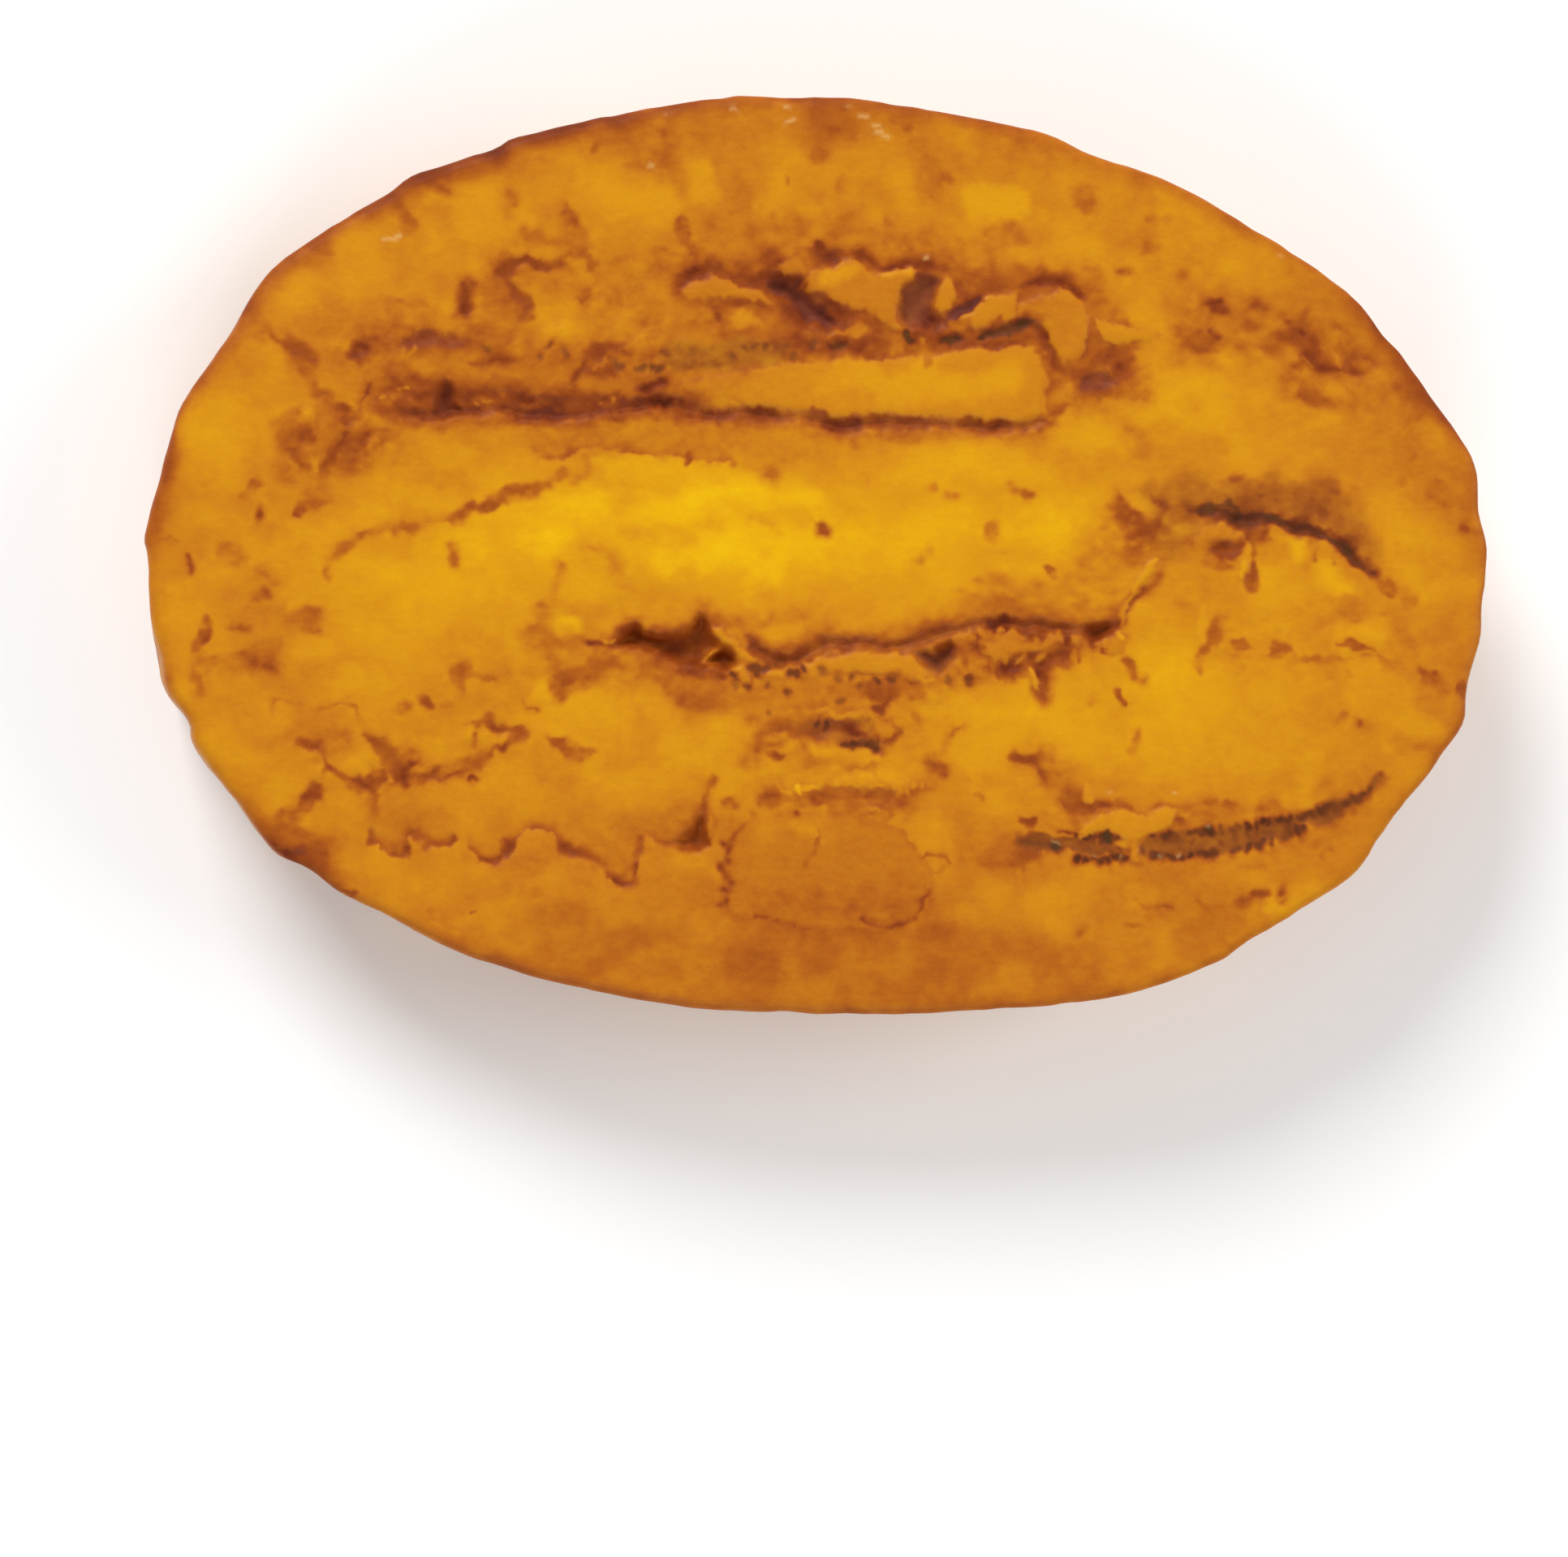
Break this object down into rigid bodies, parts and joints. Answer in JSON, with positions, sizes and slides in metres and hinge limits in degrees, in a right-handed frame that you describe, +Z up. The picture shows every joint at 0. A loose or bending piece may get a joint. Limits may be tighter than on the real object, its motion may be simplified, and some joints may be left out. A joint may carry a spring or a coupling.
{
  "type": "slice of fried ripe plantain",
  "caption": "oval slice of ripe plantain cut on the bias and fried, golden with browned seams, torn pockets and seed marks on its upper cut face, rounded rim, flat underside",
  "frame": {"origin": "centre of the box of the slice, on the surface that the slice rests on", "axes": "+X along the length of the oval face, towards the end with the short dark seam; +Y across the face, towards the edge with the long row of seams; +Z up out of the browned cut face"},
  "size_m": [0.0614, 0.0416, 0.0096],
  "materials": {
    "fried_flesh": "soft fried fruit flesh, golden yellow with orange mottling, brown seams and a light film of oil"
  },
  "bodies": {
    "root": {"plantain_slice": "fried_flesh"}
  },
  "joints": []
}
